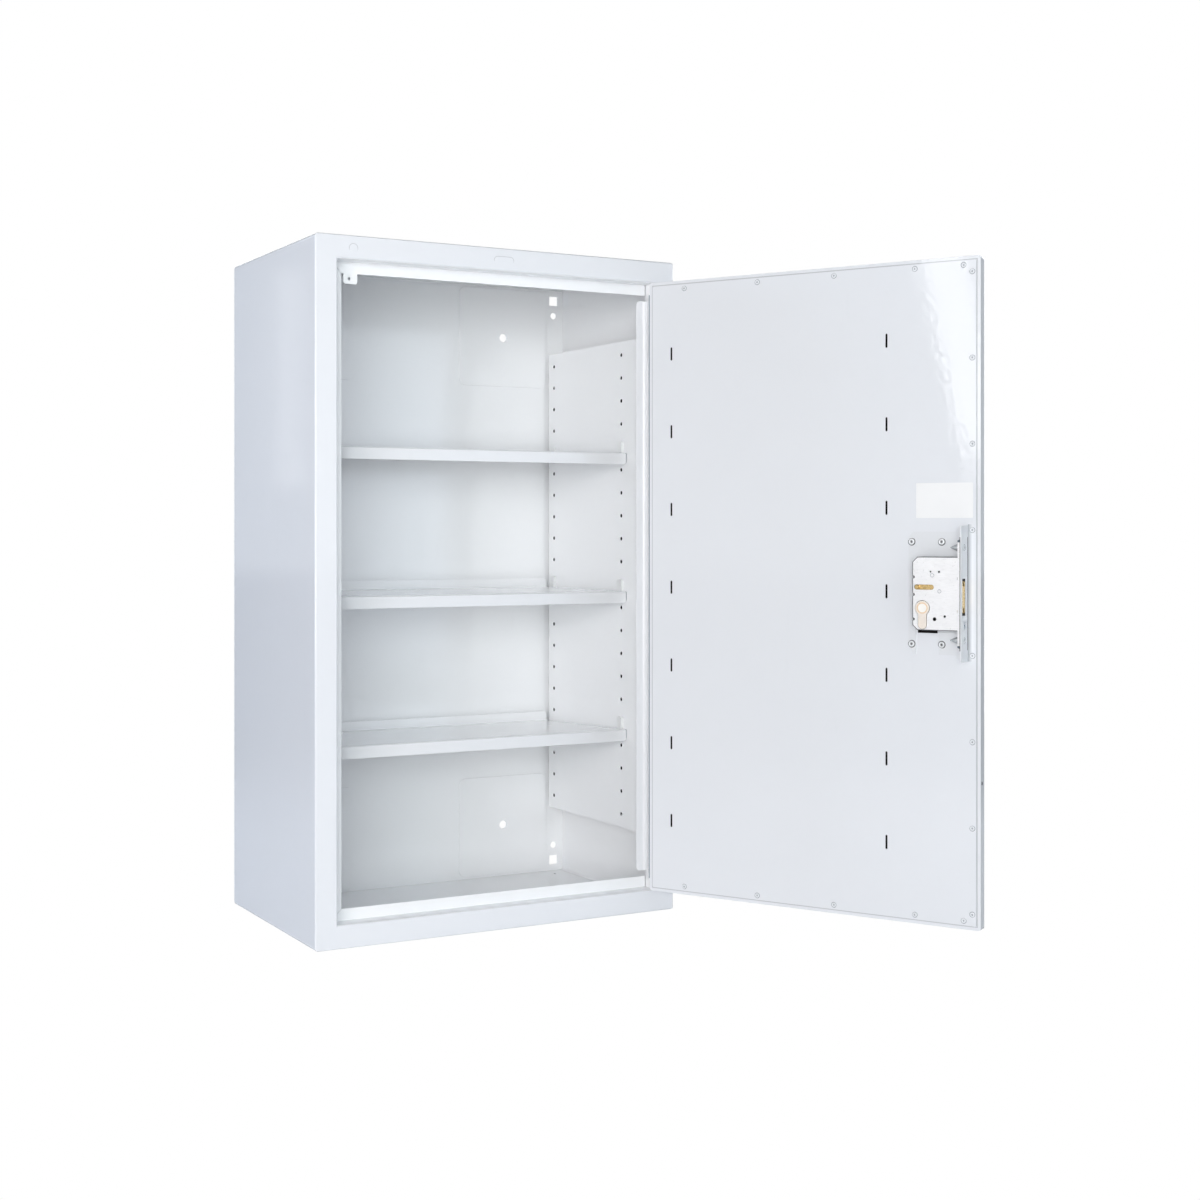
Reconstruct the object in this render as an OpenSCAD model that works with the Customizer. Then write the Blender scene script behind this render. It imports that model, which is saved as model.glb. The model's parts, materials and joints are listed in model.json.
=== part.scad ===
// Wall cabinet for medicines: a folded and welded steel carcass, an inset door on a
// continuous hinge, three pegged shelves, and a claw-bolt lock turned by a half cylinder.
// Millimetres, +Z up. The origin is the middle of the back face, the front faces -Y,
// and the door is drawn open about the hinge on the +X side.

/* [Carcass] */
// Overall width
cab_w = 500; // [440:5:600]
// Overall height
cab_h = 850; // [800:5:950]
// Depth from the back face to the front face
cab_d = 300; // [280:5:360]
// Thickness of the carcass sheet
wall = 1.5; // [1.2:0.1:2]
// Outside radius of the bends along the long edges
corner_r = 5; // [4:0.5:8]
// Width of the front face round the door
face_w = 28.5; // [27:0.5:32]
// Depth from the front face to the door stop
rebate_d = 23.5; // [23.5:0.5:25]
// Width of the door stop
stop_w = 14; // [12:0.5:14]
// Outside radius where the front face turns into the jamb and the walls
bend_r = 2.5; // [2.5:0.5:4]
// Distance of the hinge-side stop's ends from the jamb above and below
hinge_stop_end = 21.5; // [16:0.5:40]
// Width of the drilled tab under the top stop
tab_w = 18; // [14:1:24]
// Height of the drilled tab under the top stop
tab_h = 12.5; // [10:0.5:16]
// Hole in the tab
tab_hole_d = 4; // [3:0.5:5]

/* [Back] */
// Distance of the wall-bolt holes from the sides
bolt_in_x = 100; // [100:5:120]
// Distance of the wall-bolt holes from the top and bottom
bolt_in_z = 75; // [75:5:125]
// Wall-bolt hole
bolt_hole_d = 12; // [8:0.5:14]
// Side of each square reinforcing plate
plate_w = 140; // [100:5:140]
// Thickness of each reinforcing plate
plate_t = 2; // [1.5:0.5:3]
// Side of the square holes beside the corners
square_hole = 13; // [10:1:14]
// Round holes beside the corners
small_hole_d = 9; // [6:0.5:10]
// Distance of the square holes from the outside of the cabinet
square_hole_in = 17; // [12:0.5:18]
// Distance of the round holes from the top and bottom
small_hole_in = 38.5; // [34:0.5:45]

/* [Liners] */
// Thickness of the liner, shelf and door lining sheet
thin = 1.2; // [1:0.1:1.5]
// Distance of the liners' ends from the top and bottom of the cabinet
liner_end = 97; // [60:1:110]
// Pitch of the shelf-peg holes
hole_pitch = 31; // [29:1:32]
// Least distance of a peg hole from the end of its liner
hole_end = 12; // [8:1:20]
// Shelf-peg hole
peg_hole_d = 5; // [4:0.5:6]
// Front peg holes behind the front face
peg_front = 86; // [82:1:100]
// Rear peg holes in front of the back face
peg_back = 24.6; // [22:0.2:40]

/* [Shelves] */
// Rows between neighbouring shelves
shelf_step = 6; // [4:1:6]
// Depth of a shelf from its front lip to its upstand
shelf_d = 221; // [205:1:222]
// Height of the front lip
lip_h = 15.5; // [12:0.5:24]
// Height of the upstand above the deck
upstand_h = 13; // [8:1:20]
// Width of a shelf clip along the liner
clip_w = 12; // [8:1:14]
// Thickness of a clip beside the end of the shelf
clip_t = 3.5; // [2.5:0.5:5]
// Length of the ledge that carries the shelf
ledge_len = 10; // [6:1:14]
// Thickness of that ledge
ledge_t = 3.6; // [2.5:0.1:5]
// Height of the peg above the deck of the shelf
peg_rise = 8.8; // [6:0.2:11]
// Height of the clip above its peg
clip_top = 7.2; // [5:0.2:9]
// Rows by which the rear clips of the lowest shelf are lower, and turned over
rear_drop_rows = 1; // [1:1:1]

/* [Door] */
// Thickness of the door
door_t = 16; // [15:0.5:16]
// Gap between the door and the jamb on the hinge side, which holds both leaves
gap_hinge = 3; // [2.8:0.1:3.5]
// Gap between the door and the jamb on the lock side
gap_free = 2; // [2:0.1:3]
// Gap above and below the door
gap_z = 3; // [2:0.5:4]
// Rim of the outer pan that shows round the lining
rim = 5; // [4:0.5:7]
// Width of the turned-in lips of the outer pan
lip_w = 18; // [16:1:22]
// Angle at which the door stands open
open_angle = 119.5; // [0:0.5:175]
// Pitch of the slots for hanging trays
slot_pitch = 100; // [80:5:105]
// Slots in each column
slot_rows = 7; // [3:2:7]
// Length of a slot
slot_len = 17; // [10:1:24]
// Width of a slot
slot_w = 2.5; // [2:0.5:4]
// First column of slots from the hinge edge
slot_u1 = 32.4; // [28:0.2:50]
// Second column of slots from the hinge edge
slot_u2 = 323.2; // [290:0.2:326]

/* [Hinge] */
// Distance of the hinge's ends from the jamb above and below
hinge_end = 18.5; // [12:0.5:40]
// Number of knuckles
knuckles = 25; // [19:2:39]
// Outside diameter of a knuckle
knuckle_d = 6; // [5.5:0.1:7]
// Hinge pin
hinge_pin_d = 3; // [2.5:0.1:3.4]
// Depth of the leaf on the jamb, behind the front face
leaf_d = 14; // [11:0.5:17]

/* [Lock] */
// Height of the middle of the lock
lock_z = -1; // [-40:1:60]
// Distance of the bracket's flange from the free edge of the door
flange_in = 15; // [15:0.5:20]
// Length of the bracket's flange
flange_h = 158; // [150:1:180]
// Width of the bracket's flange
flange_w = 23.5; // [23.5:0.5:26]
// Backset, from the flange to the axis of the cylinder
backset = 48; // [46:1:52]
// Depth of the lock case behind its forend
case_d = 55; // [54:1:58]
// Height of the lock case
case_h = 86; // [86:1:96]
// Thickness of the lock case with its cover
case_t = 18.2; // [18.2:0.1:19]
// Length of the lock's forend
forend_h = 131; // [126:1:144]
// Thickness of the lock's forend
forend_t = 3; // [2.5:0.5:3]
// Distance between the two forend screws
forend_screws_dz = 108; // [104:1:116]
// Height of the bolt
bolt_h = 37; // [30:1:37]
// Thickness of the bolt
bolt_t = 9; // [8:0.5:9]
// Travel of the bolt
bolt_throw = 18; // [16:1:18]
// Length of a claw from its pivot to its tip
claw_len = 8.5; // [7.5:0.5:8.5]
// Pin through each claw
claw_pin_d = 2; // [1.6:0.1:2.2]
// Plug of the cylinder
plug_d = 13; // [11:0.5:14]
// Length of the half cylinder
cylinder_len = 40; // [38:1:42]
// Reach of the cam from the axis
cam_reach = 13; // [11.5:0.5:13]

/* [Fits] */
// Radial clearance of a pin or plug that turns
run_fit = 0.05; // [0.02:0.01:0.1]
// Clearance beside a part that slides or swings past another
slide_gap = 0.35; // [0.3:0.05:0.5]

/* [Hidden] */
$fn = 48;

// Opening and stop
open_w = cab_w - 2 * face_w;
open_h = cab_h - 2 * face_w;
front_y = -cab_d;
stop_y = front_y + rebate_d;
stop_x = open_w / 2 - stop_w;
stop_z = open_h / 2 - stop_w;
side_in_x = cab_w / 2 - wall;
mitre_gap = 0.3;
stop_end_gap = 1;
stop_end_r = 5;
hinge_stop_r = 6;
hinge_stop_web = 2;
tab_x = -stop_x + 2.5;
tab_r = 3;

// Plugs in the front face over the opening
plug_z = (open_h + cab_h) / 4;
round_plug_x = 20 - open_w / 2;
round_plug_d = 12;
slot_plug_w = 28;
slot_plug_h = 10.5;
plug_rim = 1.2;
plug_proud = 0.4;

// Back
bolt_x = cab_w / 2 - bolt_in_x;
bolt_z0 = cab_h / 2 - bolt_in_z;
corner_hole_x = cab_w / 2 - square_hole_in;
plate_r = 10;

// Liners: the rows of holes are counted from the middle row
liner_x = open_w / 2;
liner_setback = 48;
liner_front_y = front_y + liner_setback;
liner_back_y = -9;
liner_h = cab_h - 2 * liner_end;
half_rows = floor((liner_h / 2 - hole_end) / hole_pitch);
liner_foot = 11;
peg_front_y = front_y + peg_front;
peg_back_y = -peg_back;

// Shelves and clips
peg_d = peg_hole_d - 0.3;
peg_len = 6;
seat = 0.1;
shelf_half = liner_x - clip_t - 0.3;
shelf_back_y = -8;
shelf_front_y = shelf_back_y - shelf_d;
ledge_drop = peg_rise + thin + seat;
shelf_bend = 2.4;
shelf_corner = 5;
clip_r = 2;
front_ledge_z = -shelf_step * hole_pitch - ledge_drop;
rear_ledge_z = -(shelf_step + rear_drop_rows) * hole_pitch + ledge_drop + ledge_t;
shelf_tilt = atan((rear_ledge_z - front_ledge_z) / (peg_back_y - peg_front_y));

// Door, in the place it takes when it is shut
door_w = open_w - gap_hinge - gap_free;
door_h = open_h - 2 * gap_z;
hinge_edge_x = open_w / 2 - gap_hinge;
door_mid_x = hinge_edge_x - door_w / 2;
door_in_y = front_y + door_t;
pan_y = door_in_y - thin;
door_corner = 3.5;
lining_corner = 2;
fixing_in = 9.6;
fixing_z = door_h / 2 - 10.5;
fixing_pitch_z = 100.5;
fixing_pitch_u = 102.5;
fixing_u1 = 51;
corner_fixing_u = door_w - 20;
fixing_d = 3.2;
fixing_head_d = 6.4;
fixing_head_t = 0.6;
fixing_dimple_d = 1.8;

// Hinge axis: in the middle of the gap, the knuckles just proud of the face
pivot_x = open_w / 2 - gap_hinge / 2;
pivot_y = front_y - knuckle_d / 2;
hinge_len = open_h - 2 * hinge_end;
leaf_gap = 0.6;
leaf_t = (gap_hinge - leaf_gap) / 2;
knuckle_pitch = hinge_len / knuckles;
knuckle_gap = 0.4;
leaf_clear = 0.3;

// Lock, in the door's own plan: u runs from the hinge edge to the free edge, w from the
// lining into the cabinet
flange_t = 2;
base_t = 2;
flange_u = door_w - flange_in;
forend_u = flange_u - flange_t;
case_u1 = forend_u - forend_t;
case_u0 = case_u1 - case_d;
case_w0 = base_t;
case_w1 = case_w0 + case_t;
cover_t = 1.2;
cover_w = case_w1 - cover_t;
case_wall = 1;
case_chamfer = 6;
case_z0 = lock_z - case_h / 2;
case_z1 = lock_z + case_h / 2;
cyl_u = flange_u - backset;
cyl_rise = 26;
cyl_z = case_z0 + cyl_rise;
cyl_w1 = case_w1 + 0.3;
cyl_w0 = cyl_w1 - cylinder_len;
cyl_r = 8.5;
tail_r = 5;
tail_drop = 19.5;
cam_w = 9.6;
cam_slot_w = 10.4;
cam_mid = cyl_w1 - 10;
cam_slot_r = cam_reach + 2.8;
cam_finger = 7;
cam_hub_d = 8;
cyl_screw_z = cyl_z - 20;
cyl_screw_d = 5;
key_depth = 24;
key_t = 2.2;
key_h = 9;
bolt_z = lock_z - 3.7;
bolt_w1 = cover_w - slide_gap;
bolt_w0 = bolt_w1 - bolt_t;
bolt_mid_w = (bolt_w0 + bolt_w1) / 2;
bolt_face_u = flange_u - 3;
bolt_back_u = cyl_u + cam_reach + 4;
bolt_r = 3;
tail_w0 = bolt_mid_w - 1.2;
tail_w1 = tail_w0 + 3;
bolt_tail_z0 = cyl_z + cam_reach + 1;
bolt_tail_z1 = bolt_z + bolt_h / 2 - 0.5;
claw_r = 1.8;
claw_t = 3.3;
claw_slot = 4;
claw_in = 3.5;
claw_u = bolt_face_u - claw_len;
claw_z1 = bolt_z + bolt_h / 2 - claw_in;
claw_z0 = bolt_z - bolt_h / 2 + claw_in;
window_side = 0.7;
window_end = 2.3;
post_u = cyl_u + 12;
post_rise = 38.4;
post_z = cyl_z + post_rise;
post_d = 4.5;
collar_u = cyl_u + 14.8;
collar_z = cyl_z - 12.7;
collar_d = 6.4;
collar_bore = 4.5;
guide_u = case_u0 + 5;
guide_rise = 24.5;
guide_z = cyl_z + guide_rise;
guide_d = 4.5;
guide_slot_h = 6;
screw_w = 12;
screw_d = 4.8;
screw_head_d = 8.2;
screw_tip = 12.5;
rivet_d = 4.8;
rivet_head_d = 8.4;
rivet_head_t = 1.2;
rivet_bore = 2.6;
rivet_back = 19.5;
rivet_front = 17.3;
rivet_u = [cyl_u - rivet_back, cyl_u + rivet_front];
rivet_dz = 60.5;
base_back = 23.5;
base_u0 = cyl_u - base_back;
base_dz = 72.5;
base_step = 14;
notch_back = 14.5;
notch_front = 13.5;

// Cut-out in the lining for the cylinder, from behind the case to just below it
cut_back = 13;
cut_front = 11.5;
cut_low = case_z0 - 4.3;
cut_high = cyl_z + cyl_r + 2;

// Holes in the case cover: u and Z from the cylinder's axis, then the diameter
cover_holes = [[27.1, -9.3, 3], [10, 42.7, 2.2], [20.2, 42.6, 2.6]];
// Holes and notches on its hinge-side and free edges: Z from the cylinder's axis
edge_hole_z = [36.3, 15.7, -13.1];
edge_hole_d = 3.6;
notch_z = [34.9, -2.8];
notch_size = [2.4, 3];
ring_u = 20.7;
ring_z = 19.8;
rose_t = 3;
rose_w = 31;
rose_h = 50;

// Keep behind the lock-side stop
keep_t = 1.2;
keep_x = -stop_x - 0.1;
keep_h = 96;
keep_y0 = stop_y + wall;
keep_foot = 27;
keep_slot_end = 4.2;
keep_slot_side = 1.3;

// Upright plate between two depths, its outline drawn in X and Z
module slab(y0, y1) {
    translate([0, y1, 0]) rotate([90, 0, 0]) linear_extrude(height = y1 - y0) children();
}

// Bar of a given length along X, its outline drawn in Y and Z
module along_x(len) {
    translate([-len / 2, 0, 0]) rotate([90, 0, 90]) linear_extrude(height = len) children();
}

// Bar of a given length along Z, its outline drawn in X and Y
module along_z(len) {
    translate([0, 0, -len / 2]) linear_extrude(height = len) children();
}

module round_rect(w, h, r) {
    square([w - 2 * r, h], center = true);
    square([w, h - 2 * r], center = true);
    for (x = [-1, 1], y = [-1, 1])
        translate([x * (w / 2 - r), y * (h / 2 - r)]) circle(r = r);
}

module obround(w, h) {
    r = min(w, h) / 2;
    square([w > h ? w - 2 * r : w, w > h ? h : h - 2 * r], center = true);
    for (s = [-1, 1])
        translate(w > h ? [s * (w / 2 - r), 0] : [0, s * (h / 2 - r)]) circle(r = r);
}

// Quarter of a bent sheet, about the centre of its bend, in the quadrant turned to
module quarter(r, t, turn) {
    rotate(turn) intersection() {
        difference() {
            circle(r = r);
            circle(r = r - t);
        }
        square(r + 1);
    }
}

// Section through a folded box: depth along the first axis, its two front corners bent
module front_bent(h, y0, y1, r) {
    translate([y0 + r, -h / 2]) square([y1 - y0 - r, h]);
    translate([y0, -h / 2 + r]) square([r, h - 2 * r]);
    for (s = [-1, 1]) translate([y0 + r, s * (h / 2 - r)]) circle(r = r);
}

// Solid block with bent front edges and round long corners, shrunk by the sheet
module folded_block(mid_x, w, h, y0, y1, corner, shrink) {
    intersection() {
        slab(y0 + shrink, y1) translate([mid_x, 0])
            round_rect(w - 2 * shrink, h - 2 * shrink, corner - shrink);
        along_x(2 * w) front_bent(h - 2 * shrink, y0 + shrink, y1 + 1, bend_r - shrink);
        translate([mid_x, 0, 0]) along_z(2 * h) rotate(90)
            front_bent(w - 2 * shrink, y0 + shrink, y1 + 1, bend_r - shrink);
    }
}

// Plate of the lock or door between two distances from the lining, outline in u and Z
module w_slab(w0, w1) {
    slab(door_in_y + w0, door_in_y + w1) translate([hinge_edge_x, 0]) mirror([1, 0]) children();
}

// Plate across the door between two distances from the hinge edge, outline in w and Z
module u_slab(u0, u1) {
    translate([hinge_edge_x - u1, door_in_y, 0]) rotate([90, 0, 90])
        linear_extrude(height = u1 - u0) children();
}

module w_cone(w0, w1, u, z, d0, d1) {
    translate([hinge_edge_x - u, door_in_y + w0, z]) rotate([-90, 0, 0])
        cylinder(d1 = d0, d2 = d1, h = w1 - w0);
}

module u_cone(u0, u1, w, z, d0, d1) {
    translate([hinge_edge_x - u0, door_in_y + w, z]) rotate([0, -90, 0])
        cylinder(d1 = d0, d2 = d1, h = u1 - u0);
}

// Profile of the cylinder: a round barrel over a narrow tail
module euro(grow) {
    translate([cyl_u, cyl_z]) {
        circle(r = cyl_r + grow);
        translate([-tail_r - grow, -tail_drop]) square([2 * (tail_r + grow), tail_drop]);
        translate([0, -tail_drop]) circle(r = tail_r + grow);
    }
}

module door_swing() {
    translate([pivot_x, pivot_y, 0]) rotate([0, 0, open_angle])
        translate([-pivot_x, -pivot_y, 0]) children();
}

// ---- Carcass -------------------------------------------------------------------

module body_wrap() color("whitesmoke") difference() {
    union() {
        difference() {
            folded_block(0, cab_w, cab_h, front_y, 0, corner_r, 0);
            folded_block(0, cab_w, cab_h, front_y, 1, corner_r, wall);
            slab(front_y - 1, front_y + bend_r)
                square([open_w + 2 * bend_r, open_h + 2 * bend_r], center = true);
        }
        for (s = [0, 1]) {
            mirror([0, 0, s]) along_x(open_w + 2 * bend_r)
                translate([front_y + bend_r, open_h / 2 + bend_r]) quarter(bend_r, wall, 180);
            mirror([s, 0, 0]) along_z(open_h + 2 * bend_r)
                translate([open_w / 2 + bend_r, front_y + bend_r]) quarter(bend_r, wall, 180);
        }
        slab(front_y + bend_r, stop_y) difference() {
            square([open_w + 2 * wall, open_h + 2 * wall], center = true);
            square([open_w, open_h], center = true);
        }
    }
    slab(front_y - 1, front_y + 2 * wall) plug_outlines(plug_rim);
}

module plug_outlines(inset) {
    translate([round_plug_x, plug_z]) circle(d = round_plug_d - 2 * inset);
    translate([0, plug_z]) obround(slot_plug_w - 2 * inset, slot_plug_h - 2 * inset);
}

module back_panel() color("white") difference() {
    slab(-wall, 0) round_rect(cab_w - 2 * wall, cab_h - 2 * wall, corner_r - wall);
    slab(-wall - 1, 1) {
        wall_bolt_holes();
        for (x = [-1, 1], z = [-1, 1]) {
            translate([x * corner_hole_x, z * (cab_h / 2 - square_hole_in)])
                square(square_hole, center = true);
            translate([x * corner_hole_x, z * (cab_h / 2 - small_hole_in)])
                circle(d = small_hole_d);
        }
    }
}

module wall_bolt_holes() {
    for (x = [-1, 1], z = [-1, 1]) translate([x * bolt_x, z * bolt_z0])
        circle(d = bolt_hole_d);
}

module wall_plates() color("white") slab(-wall - plate_t, -wall) difference() {
    for (x = [-1, 1], z = [-1, 1])
        translate([x * bolt_x, z * bolt_z0]) round_rect(plate_w, plate_w, plate_r);
    wall_bolt_holes();
}

// Lock side, top and bottom strips of the stop, mitred where they meet
module stop_frame() color("white") difference() {
    slab(stop_y, stop_y + wall) {
        difference() {
            square([open_w + 2 * wall, open_h + 2 * wall], center = true);
            translate([-stop_x, -stop_z]) square([open_w, 2 * stop_z]);
            for (s = [-1, 1]) translate([-stop_x, s * stop_z]) rotate(s * 135)
                translate([-1, -mitre_gap / 2]) square([2 * stop_w, mitre_gap]);
            translate([open_w / 2 - stop_end_gap, -cab_h / 2]) square([stop_w, cab_h]);
        }
        translate([tab_x, stop_z - tab_h + tab_r]) square([tab_w, tab_h - tab_r + 1]);
        translate([tab_x + tab_r, stop_z - tab_h]) square([tab_w - 2 * tab_r, tab_r + 1]);
        for (x = [tab_r, tab_w - tab_r])
            translate([tab_x + x, stop_z - tab_h + tab_r]) circle(r = tab_r);
    }
    slab(stop_y - 1, stop_y + 2 * wall)
        translate([tab_x + 0.42 * tab_w, stop_z - tab_h / 2]) circle(d = tab_hole_d);
}

// Its hinge-side edge is bent forward to lie along the jamb, behind the leaves
module hinge_stop() color("white") {
    half = open_h / 2 - hinge_stop_end;
    bend_x = open_w / 2 - hinge_stop_r;
    bend_y = stop_y + wall - hinge_stop_r;
    intersection() {
        along_z(2 * half) {
            translate([stop_x, stop_y]) square([bend_x - stop_x, wall]);
            translate([bend_x, bend_y]) quarter(hinge_stop_r, wall, 0);
            translate([open_w / 2 - wall, bend_y - hinge_stop_web])
                square([wall, hinge_stop_web]);
        }
        slab(front_y, 0) {
            translate([stop_x + stop_end_r, -half]) square([2 * stop_w, 2 * half]);
            translate([stop_x, stop_end_r - half])
                square([stop_end_r + 1, 2 * (half - stop_end_r)]);
            for (s = [-1, 1]) translate([stop_x + stop_end_r, s * (half - stop_end_r)])
                circle(r = stop_end_r);
        }
    }
}

// Channel over each side wall, open to it, with a foot along the wall
module liner(side) color("white") mirror([side, 0, 0]) difference() {
    along_z(liner_h) {
        translate([liner_x, liner_front_y]) square([thin, liner_back_y - liner_front_y]);
        for (y = [liner_front_y, liner_back_y - thin])
            translate([liner_x, y]) square([side_in_x - liner_x, thin]);
        translate([side_in_x - thin, liner_front_y - liner_foot])
            square([thin, liner_foot + thin]);
    }
    for (row = [-half_rows:half_rows], y = [peg_front_y, peg_back_y])
        translate([liner_x - 1, y, row * hole_pitch])
            rotate([0, 90, 0]) cylinder(d = peg_hole_d, h = thin + 2);
}

module left_liner() liner(1);

module right_liner() liner(0);

module round_plug() color("white") {
    slab(front_y - plug_proud, front_y)
        translate([round_plug_x, plug_z]) circle(d = round_plug_d);
    slab(front_y, front_y + 2 * wall) translate([round_plug_x, plug_z])
        circle(d = round_plug_d - 2 * plug_rim);
}

module slot_plug() color("white") {
    slab(front_y - plug_proud, front_y)
        translate([0, plug_z]) obround(slot_plug_w, slot_plug_h);
    slab(front_y, front_y + 2 * wall) translate([0, plug_z])
        obround(slot_plug_w - 2 * plug_rim, slot_plug_h - 2 * plug_rim);
}

// Angle behind the stop: the bolt passes its web and the claws open behind it
module keep_plate() color("silver") difference() {
    translate([0, 0, bolt_z]) along_z(keep_h) {
        translate([keep_x - keep_t, keep_y0]) square([keep_t, liner_front_y - keep_y0]);
        translate([keep_x - keep_foot, liner_front_y - keep_t]) square([keep_foot, keep_t]);
    }
    translate([keep_x - keep_t / 2, door_in_y + bolt_mid_w, bolt_z]) cube([4 * keep_t,
        bolt_t + 2 * keep_slot_side, bolt_h + 2 * keep_slot_end], center = true);
}

// ---- Shelves -------------------------------------------------------------------

// Tray with a lip in front and an upstand behind; the top of its deck lies at Z = 0
module shelf_tray() color("white") intersection() {
    along_x(2 * shelf_half) {
        translate([shelf_front_y + shelf_bend, -thin])
            square([shelf_d - 2 * shelf_bend, thin]);
        translate([shelf_front_y, -lip_h]) square([thin, lip_h - shelf_bend]);
        translate([shelf_front_y + shelf_bend, -shelf_bend]) quarter(shelf_bend, thin, 90);
        translate([shelf_back_y - shelf_bend, shelf_bend - thin])
            quarter(shelf_bend, thin, 270);
        translate([shelf_back_y - thin, shelf_bend - thin])
            square([thin, upstand_h + thin - shelf_bend]);
    }
    slab(shelf_front_y - 1, shelf_back_y + 1) translate([0, (upstand_h - lip_h) / 2])
        round_rect(2 * shelf_half, upstand_h + lip_h, shelf_corner);
}

module top_shelf() translate([0, 0, shelf_step * hole_pitch - peg_rise]) shelf_tray();

module middle_shelf() translate([0, 0, -peg_rise]) shelf_tray();

// Its rear clips hang one row lower and are turned over, so it slopes to the back
module bottom_shelf() translate([0, peg_front_y + clip_w / 2, front_ledge_z + seat])
    rotate([shelf_tilt, 0, 0]) translate([0, -peg_front_y - clip_w / 2, thin]) shelf_tray();

// Clip on the +X liner with its peg at the origin; turned over it carries higher up
module clip() {
    clip_h = clip_top + ledge_drop + ledge_t;
    translate([liner_x - clip_t, 0, clip_top - clip_h / 2]) rotate([90, 0, 90])
        linear_extrude(height = clip_t) round_rect(clip_w, clip_h, clip_r);
    translate([liner_x - clip_t - ledge_len, -clip_w / 2, -ledge_drop - ledge_t])
        cube([ledge_len + 1, clip_w, ledge_t]);
    translate([liner_x - 1, 0, 0]) rotate([0, 90, 0]) cylinder(d = peg_d, h = peg_len);
    translate([liner_x + peg_len - 1, 0, 0]) rotate([0, 90, 0])
        cylinder(d1 = peg_d, d2 = peg_d - 1.6, h = 1);
}

module clips(front_row, back_row, turn) color("white") for (side = [0, 1])
    mirror([side, 0, 0]) {
        translate([0, peg_front_y, front_row * hole_pitch]) clip();
        translate([0, peg_back_y, back_row * hole_pitch]) rotate([turn, 0, 0]) clip();
    }

module top_clips() clips(shelf_step, shelf_step, 0);

module middle_clips() clips(0, 0, 0);

module bottom_clips() clips(-shelf_step, -shelf_step - rear_drop_rows, 180);

// ---- Hinge ---------------------------------------------------------------------

// Knuckles of one leaf: every second one, starting from the given one
module knuckle_row(first) {
    for (k = [first:2:knuckles - 1])
        translate([pivot_x, pivot_y, (k + 0.5) * knuckle_pitch - hinge_len / 2])
            children();
}

module leaf(first, x0, depth) difference() {
    union() {
        slab(front_y + leaf_clear, front_y + depth)
            translate([x0, -hinge_len / 2]) square([leaf_t, hinge_len]);
        knuckle_row(first) {
            cylinder(d = knuckle_d, h = knuckle_pitch - knuckle_gap, center = true);
            translate([x0 - pivot_x, 0, -(knuckle_pitch - knuckle_gap) / 2])
                cube([leaf_t, knuckle_d, knuckle_pitch - knuckle_gap]);
        }
    }
    translate([pivot_x, pivot_y, 0])
        cylinder(d = hinge_pin_d + 2 * run_fit, h = hinge_len + 2, center = true);
}

module hinge_frame_leaf() color("silver") leaf(0, open_w / 2 - leaf_t, leaf_d);

module hinge_pin() color("silver") translate([pivot_x, pivot_y, 0])
    cylinder(d = hinge_pin_d, h = hinge_len + 1.6, center = true);

module hinge_door_leaf() color("silver") door_swing()
    leaf(1, hinge_edge_x, door_t - 1);

// ---- Door ----------------------------------------------------------------------

module door_pan() color("whitesmoke") door_swing() difference() {
    union() {
        difference() {
            folded_block(door_mid_x, door_w, door_h, front_y, pan_y, door_corner, 0);
            folded_block(door_mid_x, door_w, door_h, front_y, pan_y + 1, door_corner, wall);
        }
        slab(pan_y - wall, pan_y) translate([door_mid_x, 0]) difference() {
            round_rect(door_w, door_h, door_corner);
            square([door_w - 2 * lip_w, door_h - 2 * lip_w], center = true);
        }
    }
    w_slab(-door_t - 1, -door_t + 2 * wall) euro(slide_gap);
    w_slab(-thin - wall - 1, 0) fixings() circle(d = fixing_d);
}

module door_lining() color("white") door_swing() difference() {
    slab(pan_y, door_in_y) translate([door_mid_x, 0])
        round_rect(door_w - 2 * rim, door_h - 2 * rim, lining_corner);
    w_slab(-thin - 1, 1) {
        for (u = [slot_u1, slot_u2], k = [0:slot_rows - 1])
            translate([u, (k - (slot_rows - 1) / 2) * slot_pitch]) obround(slot_w, slot_len);
        translate([cyl_u - cut_back, cut_low])
            square([cut_back + cut_front, cut_high - cut_low]);
        fixings() circle(d = fixing_d);
    }
}

// Places of the rivets that hold the lining, in u and Z
module fixings() {
    for (z = [-1, 1]) {
        for (k = [0:3]) {
            translate([fixing_u1 + k * fixing_pitch_u, z * fixing_z]) children();
            translate([door_w - fixing_in, z * (k + 0.73) * fixing_pitch_z]) children();
        }
        translate([corner_fixing_u, z * fixing_z]) children();
    }
}

module lining_rivets() color("white") door_swing() difference() {
    union() {
        w_slab(-thin - wall - 1, 0) fixings() circle(d = fixing_d);
        w_slab(0, fixing_head_t) fixings() circle(d = fixing_head_d);
    }
    w_slab(-thin, 1) fixings() circle(d = fixing_dimple_d);
}

// Rose round the cylinder on the outside of the door
module escutcheon() color("silver") door_swing()
    w_slab(-door_t - rose_t, -door_t) difference() {
        translate([cyl_u, cyl_z - (tail_drop - cyl_r + tail_r) / 2]) obround(rose_w, rose_h);
        euro(slide_gap);
    }

// ---- Lock ----------------------------------------------------------------------

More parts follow.
